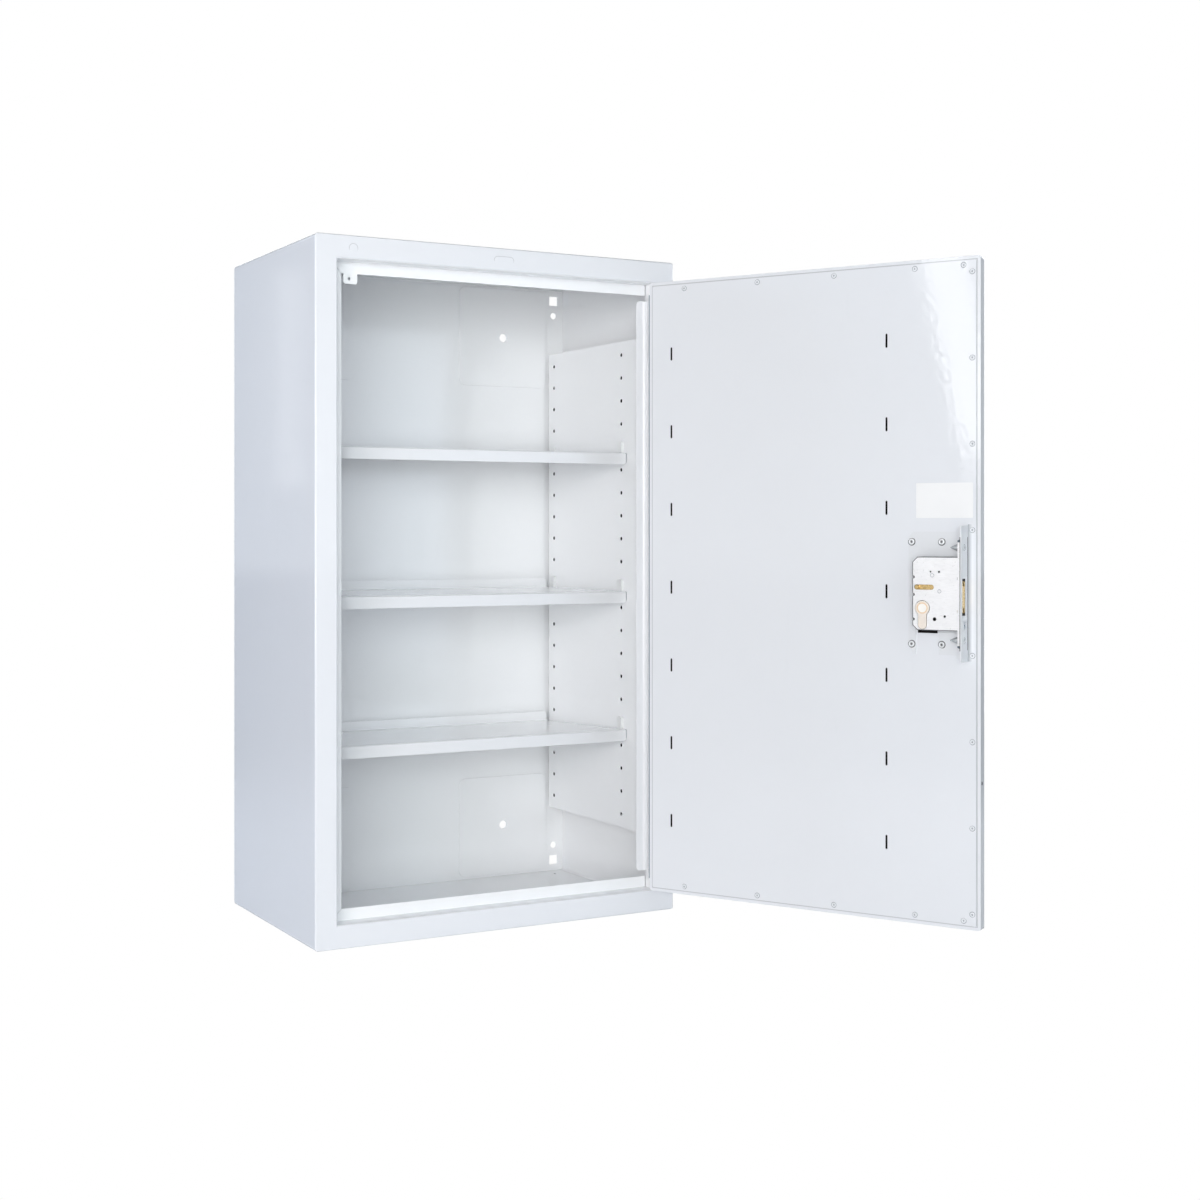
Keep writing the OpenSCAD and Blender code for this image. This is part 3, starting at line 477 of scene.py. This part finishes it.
# Painted shade fills the door's hollow and the walls of its slots.
door_paint = powder_coat("door_paint", WHITE, rough=0.03, peel=4.8e-5,
                         zones=[((0.13, 0.13, 0.14), knocked), (PAINTED_SHADE_BLACK, shade_in_door),
                                (darker(WHITE, 0.72), lining_seam),
                                ((0.42, 0.44, 0.47), shadow_beside_flange)])
formed("door_pan", door_paint, edge=0.0004)
formed("door_lining", door_paint, edge=0.0003)


# ---- Hinge ---------------------------------------------------------------------
# A continuous hinge, sprayed together with the cabinet. The edge of the door's leaf is
# coloured dark beside the door, as painted shade for the gap there. The wire pin is bare.
def shaded_leaf_edge(coat):
    """The edge of the door's leaf that lies against the lip of the pan, in painted shade.
    """
    u, z, w = door_axes(coat)
    return coat.within((u, -0.002, 0.0001), (w, -0.0016, 0.001))


hinge_paint = powder_coat("hinge_paint", WHITE, rough=0.2,
                          zones=[((0.22, 0.26, 0.31), shaded_leaf_edge)])
for node in ("hinge_frame_leaf", "hinge_door_leaf"):
    formed(node, hinge_paint, edge=0.0002)
formed("hinge_pin", zinc, edge=0.0003)


# ---- Lining rivets -------------------------------------------------------------
# Blind rivets hold the lining: low domed heads, painted over, each with the dimple
# where its mandrel broke off. They are set by hand, so no two stand quite alike.
def turned(name, outline, steps=28):
    """A mesh spun about its own Z axis from points of radius, height and painted shade."""
    shape = bmesh.new()
    recess_shade = shape.verts.layers.float.new("recess_shade")
    ring = [shape.verts.new((radius, 0, height)) for radius, height, shade_share in outline]
    for vertex, (radius, height, shade_share) in zip(ring, outline):
        vertex[recess_shade] = shade_share
    edges = [shape.edges.new(pair) for pair in zip(ring, ring[1:])]
    bmesh.ops.spin(shape, geom=ring + edges, axis=(0, 0, 1), cent=(0, 0, 0),
                   angle=math.tau, steps=steps, use_merge=True)
    bmesh.ops.remove_doubles(shape, verts=shape.verts, dist=1e-6)
    bmesh.ops.recalc_face_normals(shape, faces=shape.faces)
    for face in shape.faces:
        face.smooth = True
    mesh = bpy.data.meshes.new(name)
    shape.to_mesh(mesh)
    shape.free()
    return mesh


def repeated(name, pattern, spots, material, frame_matrix, tilt=0.0, seed=1):
    """Copies of a small mesh at each spot, every one turned and tilted by chance."""
    model = bpy.data.objects.new(name + "_pattern", pattern)
    cloud = bpy.data.meshes.new(name)
    cloud.from_pydata(spots, [], [])
    piece = bpy.data.objects.new(name, cloud)
    bpy.context.scene.collection.objects.link(piece)
    tree = bpy.data.node_groups.new(name, "GeometryNodeTree")
    sockets = {}
    for label, kind in (("Geometry", "Geometry"), ("Pattern", "Object"),
                        ("Material", "Material"), ("Tilt", "Float"), ("Seed", "Int")):
        sockets[label] = tree.interface.new_socket(
            label, in_out="INPUT", socket_type="NodeSocket" + kind).identifier
    tree.interface.new_socket("Geometry", in_out="OUTPUT",
                              socket_type="NodeSocketGeometry")

    def put(kind, inputs, **settings):
        node = tree.nodes.new(kind)
        for key, value in settings.items():
            setattr(node, key, value)
        for key, value in inputs.items():
            if isinstance(value, bpy.types.NodeSocket):
                tree.links.new(value, node.inputs[key])
            else:
                node.inputs[key].default_value = value
        return node

    given = tree.nodes.new("NodeGroupInput").outputs
    low = put("ShaderNodeCombineXYZ", {"Z": -math.pi})
    high = put("ShaderNodeCombineXYZ", {"X": given["Tilt"], "Y": given["Tilt"],
                                        "Z": math.pi})
    chance = put("FunctionNodeRandomValue", {0: low.outputs[0], 1: high.outputs[0],
                                             "Seed": given["Seed"]},
                 data_type="FLOAT_VECTOR")
    shown = put("GeometryNodeObjectInfo", {"Object": given["Pattern"]})
    placed = put("GeometryNodeInstanceOnPoints",
                 {"Points": given["Geometry"], "Instance": shown.outputs["Geometry"],
                  "Rotation": chance.outputs["Value"]})
    real = put("GeometryNodeRealizeInstances", {"Geometry": placed.outputs[0]})
    coated = put("GeometryNodeSetMaterial", {"Geometry": real.outputs[0],
                                             "Material": given["Material"]})
    put("NodeGroupOutput", {"Geometry": coated.outputs[0]})
    maker = piece.modifiers.new("repeat", "NODES")
    maker.node_group = tree
    for label, value in (("Pattern", model), ("Material", material), ("Tilt", tilt),
                         ("Seed", seed)):
        maker[sockets[label]] = value
    settle(piece)
    piece.data.transform(frame_matrix)
    bpy.data.objects.remove(model)
    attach(piece, "door")
    return piece


def blind_rivet(name, radius, rise, bore):
    """Head of a blind rivet: a low dome, a sunk middle and the stub of the mandrel.

    Its rim and its middle carry painted shade, which runs from 0 to 1.3.
    """
    return turned(name, [
        (1.1 * radius, 0.02 * rise, 1), (radius, 0.08 * rise, 1.3),
        (0.92 * radius, 0.4 * rise, 1.3), (0.84 * radius, 0.8 * rise, 0),
        (0.7 * radius, rise, 0), (1.25 * bore, 0.95 * rise, 0),
        (1.1 * bore, 0.7 * rise, 1.3), (0.95 * bore, 0.3 * rise, 1.3),
        (0.85 * bore, 0.5 * rise, 1), (0.6 * bore, 0.6 * rise, 0.7),
        (0.45 * bore, 0.4 * rise, 1.3), (0.0, 0.2 * rise, 1.3)])


top_row, column_u, column_pitch = half_height - 0.0105, door_width - 0.0096, 0.1005
rivet_spots = [(u, side * top_row, 0.0) for side in (-1, 1)
               for u in (0.051, 0.1535, 0.256, 0.3585, door_width - 0.020)]
rivet_spots += [(column_u, side * (k + 0.73) * column_pitch, 0.0)
                for side in (-1, 1) for k in range(4)]


def painted_hollow_shade(coat):
    """The painted shade that a turned mesh carries on its points."""
    return coat.add("ShaderNodeAttribute", out="Fac", attribute_name="recess_shade") * 0.75


# The lining rivets' rims and mandrel dimples take painted shade.
rivet_paint = powder_coat("rivet_paint", WHITE, rough=0.12,
                          zones=[((0.33, 0.35, 0.38), painted_hollow_shade)])
lining_rivet = blind_rivet("lining_rivet", radius=0.0032, rise=0.0006, bore=0.0009)
rivets = repeated("lining_rivet_heads", lining_rivet, rivet_spots, rivet_paint, on_door,
                  tilt=0.02, seed=4)
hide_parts("lining_rivets")


# ---- Label ---------------------------------------------------------------------
# A plain white paper label, blank, stuck on the lining over the lock. Its corners are
# rounded, and the paper has a fine tooth and is a little greyer here and there.
label_u, label_z = (0.3602, 0.4292), (0.0875, 0.1288)
label_w, label_corner = (0.00002, 0.00022), 0.0012
shape = bmesh.new()
bmesh.ops.create_cube(shape, size=1.0)
for vertex in shape.verts:
    vertex.co = [span[1] if place > 0 else span[0]
                 for place, span in zip(vertex.co, (label_u, label_z, label_w))]
bmesh.ops.bevel(shape, geom=[edge for edge in shape.edges
                             if abs(edge.verts[0].co.z - edge.verts[1].co.z) > 1e-6],
                offset=label_corner, segments=4, affect="EDGES", profile=0.5)
label_mesh = bpy.data.meshes.new("label")
shape.to_mesh(label_mesh)
shape.free()
label_mesh.transform(on_door)
label = bpy.data.objects.new("label", label_mesh)
bpy.context.scene.collection.objects.link(label)
paper = Shader(bpy.data.materials.new("label_paper"))
fibre = paper.grain(900.0, detail=4.0, rough=0.7)
stain = paper.grain(30.0, detail=3.0)
fibre_depth = 1e-5
label_mesh.materials.append(paper.set(
    Base_Color=paper.mix(paper.band(stain, 0.35, 0.8) * 0.5, (0.955, 0.955, 0.96),
                         (0.90, 0.90, 0.905)),
    Roughness=0.42 + (fibre - 0.5) * 0.2, Normal=paper.bump(fibre, fibre_depth)))
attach(label, "door")


# ---- Escutcheon ----------------------------------------------------------------
# A satin steel rose on the outside of the door, round the key's end of the cylinder: a
# flat plate with round ends, whose opening follows the cylinder.
satin_steel = plated("satin_steel", (0.66, 0.67, 0.68), rough=0.32, streak=(1, 1, 14))
formed("escutcheon", satin_steel, edge=0.0008, segments=3)


# ---- Lock bracket --------------------------------------------------------------
# A pressed angle in a greyer, duller coat than the door's, held by four bright blind
# rivets. Its flange has a window for the bolt. Painted shadow darkens its joints, and
# painted shade darkens the walls of the window.
lock_axis, lock_middle = 0.375, -0.001
bolt_z, bolt_w = -0.0047, 0.0142


def shaded_flange_joints(coat):
    """Painted shadow in the joint with the forend, and in the crease at the flange's foot.
    """
    u, z, w = door_axes(coat)
    flange_in, forend_half = 0.4205, 0.066
    joint = coat.within((w, 0.0229, None), (u, flange_in, 0.4219))
    foot = coat.within((w, None, 0.0017), (u, flange_in, None))
    return (joint + foot).clamped() * (abs(z - lock_middle) < forend_half)


def shade_in_window(coat):
    """Painted shade on the walls of the window that the bolt passes, through flange and
    forend.
    """
    u, z, w = door_axes(coat)
    return coat.within((abs(z - bolt_z), None, 0.0225), (abs(w - bolt_w), None, 0.0058),
                       (u, 0.4, 0.4227))


bracket_paint = powder_coat("bracket_paint", (0.83, 0.845, 0.875), rough=0.2,
                            zones=[((0.13, 0.12, 0.12), shaded_flange_joints),
                                   ((0.05, 0.05, 0.055), shade_in_window)])
formed("lock_bracket", bracket_paint, edge=0.0006)

# The bracket rivets' rims and middles take painted shade.
rivet_steel = plated("rivet_steel", (0.93, 0.94, 0.96), rough=0.34, metal=0.3,
                     zones=[((0.05, 0.05, 0.055), painted_hollow_shade)])
bracket_rivet_spots = [(lock_axis + along, lock_middle + side * 0.0605, 0.002)
                       for side in (-1, 1) for along in (-0.0195, 0.0173)]
bracket_rivet = blind_rivet("bracket_rivet", radius=0.0042, rise=0.0012, bore=0.0013)
bracket_rivets = repeated("bracket_rivet_heads", bracket_rivet, bracket_rivet_spots,
                          rivet_steel, on_door, tilt=0.03, seed=2)
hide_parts("bracket_rivets")


# ---- Lock case -----------------------------------------------------------------
# A folded zinc-plated case under a flat cover of the same sheet. The cover is bright; a
# painted shadow, near black, runs round its outline and cut-off corners, and painted shade
# darkens the case behind its holes. The forend is riveted to the case.
case_back, case_half, cover_under = 0.363, 0.043, 0.0188


def shaded_outline(plate):
    """The cover's outline and its cut-off corners, coloured near black as a painted shadow.
    """
    u, z, w = door_axes(plate)
    edge, cut_corner = 0.0008, 0.0071
    inward, down = u - case_back, case_half - abs(z - lock_middle)
    return ((inward < edge) + (down < edge) + (inward + down < cut_corner)).clamped()


# Painted shade inside the case, below the cover, seen through its holes.
def shade_below_cover(plate):
    return door_axes(plate)[2] < cover_under


def ring_about(along, height, inner, outer):
    """A function for the share of a ring drawn on the door's plan."""
    def share(plate):
        u, z, w = door_axes(plate)
        aside, over = u - along, z - height
        return plate.within(((aside * aside + over * over).root(), inner, outer))
    return share


bright_zinc, rivet_seam = (0.93, 0.93, 0.94), (0.40, 0.42, 0.45)
case_zinc = plated(
    "case_zinc", bright_zinc, rough=0.36, streak=(1, 1, 6), scale=120.0, metal=0.22,
    bloom=0.93, zones=[
        (rivet_seam, ring_about(0.3957, 0.0018, 0.0017, 0.0023)),
        (rivet_seam, ring_about(0.387, 0.0204, 0.0016, 0.0024)),
        ((0.07, 0.075, 0.085), shaded_outline), ((0.02, 0.02, 0.023), shade_below_cover)])
for node in ("case_cover", "lock_case"):
    formed(node, case_zinc, edge=0.0004)
post_zinc = plated("post_zinc", bright_zinc, rough=0.36, metal=0.22, bloom=0.93,
                   zones=[((0.01, 0.01, 0.012), shade_below_cover)])
formed("case_posts", post_zinc, edge=0.0003)


# Painted shade on the forend's tips, past the ends of the case.
def shaded_forend_tips(plate):
    case_end = 0.06
    return abs(door_axes(plate)[1] - lock_middle) > case_end


forend_zinc = plated(
    "forend_zinc", (0.93, 0.935, 0.95), rough=0.33, streak=(1, 1, 8), metal=0.35,
    bloom=0.93, zones=[((0.10, 0.13, 0.16), shaded_forend_tips),
                       ((0.05, 0.05, 0.055), shade_in_window)])
formed("lock_forend", forend_zinc, edge=0.0004)


# ---- Forend screws -------------------------------------------------------------
# Two countersunk screws draw the forend to the flange. Each has a shallow round recess
# in its head and ends in a long cone point, whose coarse thread is drawn as rings.
# The screws take painted shade in the thread's roots, in the head's recess and round the
# head.
screw_zinc = plated("screw_zinc", (0.88, 0.92, 0.94), rough=0.22, metal=0.4, bloom=0.93,
                    zones=[((0.03, 0.045, 0.06), painted_hollow_shade)])
flange_out, screw_w = 0.4231, 0.012
outline = [(0.0, 0.0001, 0.6), (0.0019, 0.0001, 0.5), (0.0021, 0.0004, 0.1),
           (0.0038, 0.0003, 0.0), (0.0041, 0.0, 0.5), (0.0036, -0.0012, 0.3),
           (0.0024, -0.0034, 0.0), (0.0024, -0.0052, 0.9), (0.0036, -0.0053, 0.9)]
turns, thread_top, tip, thread_radius = 9, -0.0058, -0.0172, 0.0046
step = (tip - thread_top) / turns
for k in range(turns):
    crest = thread_radius * (1 - (k / turns) ** 1.6)
    height = thread_top + k * step
    outline += [(crest, height, 0.0), (0.74 * crest, height + 0.6 * step, 1.0)]
outline += [(0.0, tip, 0.0)]
down_u = on_door @ Matrix(((0, 0, 1, flange_out), (1, 0, 0, 0), (0, 1, 0, screw_w),
                           (0, 0, 0, 1)))
screw_spots = [(lock_middle + side * 0.054, 0.0, 0.0) for side in (-1, 1)]
screws = repeated("forend_screw_bodies", turned("forend_screw", outline, steps=32),
                  screw_spots, screw_zinc, down_u, tilt=0.02, seed=6)
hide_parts("forend_screws")
dark_zinc = plated("dark_zinc", (0.42, 0.47, 0.52), rough=0.25, metal=0.8)
formed("cylinder_screw", dark_zinc, edge=0.0003)


# ---- Cylinder ------------------------------------------------------------------
# A machined half cylinder of pale brass. Its closed inner end shows the turned disc of the
# barrel over the tail, with a bright disc painted on as a painted highlight and a darker
# orange ring round it as painted shade in the groove. The cam is sintered steel.
barrel_z = -0.018
pale_brass = plated(
    "pale_brass", (0.97, 0.88, 0.79), rough=0.3, metal=0.2, bloom=0.93, zones=[
        ((1.0, 0.97, 0.92), ring_about(lock_axis, barrel_z, 0.0, 0.0050)),
        ((0.88, 0.66, 0.44), ring_about(lock_axis, barrel_z, 0.0053, 0.0066))])
for node in ("cylinder_body", "cylinder_plug"):
    formed(node, pale_brass, edge=0.0004)
sinter = plated("sinter", (0.10, 0.095, 0.09), rough=0.45)
formed("cylinder_cam", sinter, edge=0.0003)


# ---- Bolt ----------------------------------------------------------------------
# Drawn brass, polished by use. At each end of its nose a slot holds a hardened claw on
# a pin, and a guide pin runs in the case.
# Painted shade on the walls of the slots that hold the claws.
def shade_in_claw_slots(plate):
    u, z, w = door_axes(plate)
    return plate.within((abs(z - bolt_z), 0.0118, 0.0172), (abs(w - bolt_w), None, 0.0021),
                        (u, 0.41, 0.4222))


bolt_brass = plated("bolt_brass", (0.86, 0.62, 0.27), rough=0.26, streak=(1, 1, 8),
                    metal=0.5, zones=[((0.10, 0.045, 0.015), shade_in_claw_slots)])


def bring_flush(shape):
    """Lengthens the bolt's nose, so that it comes out to the flange's face."""
    nose_from, nose_run = 0.4195, 0.0027
    to_door = on_door.inverted()
    for vertex in shape.verts:
        if (to_door @ vertex.co).x > nose_from:
            vertex.co += across * nose_run


formed("lock_bolt", bolt_brass, edge=0.0003, drawn=bring_flush)
formed("guide_pin", bolt_brass, edge=0.0003)
for node in ("claw_pins", "upper_claw", "lower_claw"):
    formed(node, sinter, edge=0.0002)


# ---- Floor and light -----------------------------------------------------------
# A white sweep all round, lit by six softboxes and by the pale room. What the camera
# sees of floor and wall is burnt out to white.
floor_z, far = -0.72, 30
floor_mesh = bpy.data.meshes.new("floor")
floor_mesh.from_pydata([(x, y, floor_z) for x, y in ((-far, -far), (far, -far),
                                                     (far, far), (-far, far))],
                       [], [(0, 1, 2, 3)])
floor = bpy.data.objects.new("floor", floor_mesh)
bpy.context.scene.collection.objects.link(floor)
sweep = Shader(bpy.data.materials.new("pale_floor"))
matt = sweep.add("ShaderNodeBsdfDiffuse", {"Color": (0.9, 0.9, 0.9)})
burnt = sweep.add("ShaderNodeEmission", {"Color": (1.0, 1.0, 1.0), "Strength": 1.0})
seen = sweep.add("ShaderNodeLightPath", out="Is Camera Ray")
shown = sweep.add("ShaderNodeMixShader", {0: seen, 1: matt, 2: burnt})
sweep.feed(sweep.tree.nodes["Material Output"].inputs["Surface"], shown)
floor_mesh.materials.append(sweep.owner)

bpy.context.scene.world = bpy.data.worlds.new("studio")
sky = Shader(bpy.context.scene.world)
place = sky.add("ShaderNodeTexCoord", out="Generated")
ahead = (sky.add("ShaderNodeSeparateXYZ", {"Vector": place}, out="Y") * -1.0).clamped()
glossy = sky.add("ShaderNodeLightPath", out="Is Glossy Ray")
room = sky.add("ShaderNodeBackground", {
    "Color": (0.93, 0.975, 1.0), "Strength": ahead * ahead * 1.04 + glossy * 0.5})
backdrop = sky.add("ShaderNodeBackground", {"Color": (1.0, 1.0, 1.0)})
seen = sky.add("ShaderNodeLightPath", out="Is Camera Ray")
shown = sky.add("ShaderNodeMixShader", {0: seen, 1: room, 2: backdrop})
sky.feed(sky.tree.nodes["World Output"].inputs["Surface"], shown)


def softbox(name, place, size, power, target=(0, -0.3, 0), roll=0.0, lights=True):
    """An area lamp turned to its target; power is in watts of red, green and blue."""
    data = bpy.data.lights.new(name, "AREA")
    data.shape, data.size, data.size_y = "RECTANGLE", *size
    data.energy, data.color = max(power), [channel / max(power) for channel in power]
    lamp = bpy.data.objects.new(name, data)
    lamp.location = place
    lamp.visible_camera, lamp.visible_diffuse = False, lights
    aim = (Vector(target) - Vector(place)).to_track_quat("-Z", "Y")
    lamp.rotation_euler = (aim @ Quaternion((0, 0, 1), math.radians(roll))).to_euler()
    bpy.context.scene.collection.objects.link(lamp)


softbox("front", (-1.7, -3.2, 0.2), (1.2, 1.2), power=(35.5, 37.5, 37.0))
softbox("front_left", (-2.6, -2.4, 0.3), (1.2, 1.2), power=(31.5, 29.0, 29.0))
softbox("front_right", (1.9, -3.4, 0.2), (1.2, 1.2), power=(4.0, 4.8, 6.2))
softbox("behind_left", (-2.6, 1.4, 0.4), (1.6, 1.6), power=(18.5, 22.0, 27.0))
softbox("behind_right", (3.0, 1.4, 0.4), (1.8, 1.8), power=(44.0, 46.0, 49.0))
softbox("behind", (0.4, 3.4, 0.6), (1.6, 1.6), power=(20.0, 21.0, 22.5))
# Three more only mirror in the gloss: the sheen in the door's top corner, its brighter
# edge, and the thin wavy line down the cabinet's left side.
softbox("door_sheen", (-1.7, -1.36, 0.56), (0.7, 0.62), power=(2.1, 2.1, 2.1),
        target=(0.4, -1.36, 0.56), roll=12.6, lights=False)
softbox("sheen_edge", (-1.66, -1.062, 0.56), (0.09, 0.62), power=(0.46, 0.46, 0.46),
        target=(0.4, -1.062, 0.56), roll=12.6, lights=False)
softbox("side_line", (-1.6, 3.49, 0.60), (0.05, 0.75), power=(0.12, 0.12, 0.12),
        target=(-0.25, -0.1, 0.3), lights=False)
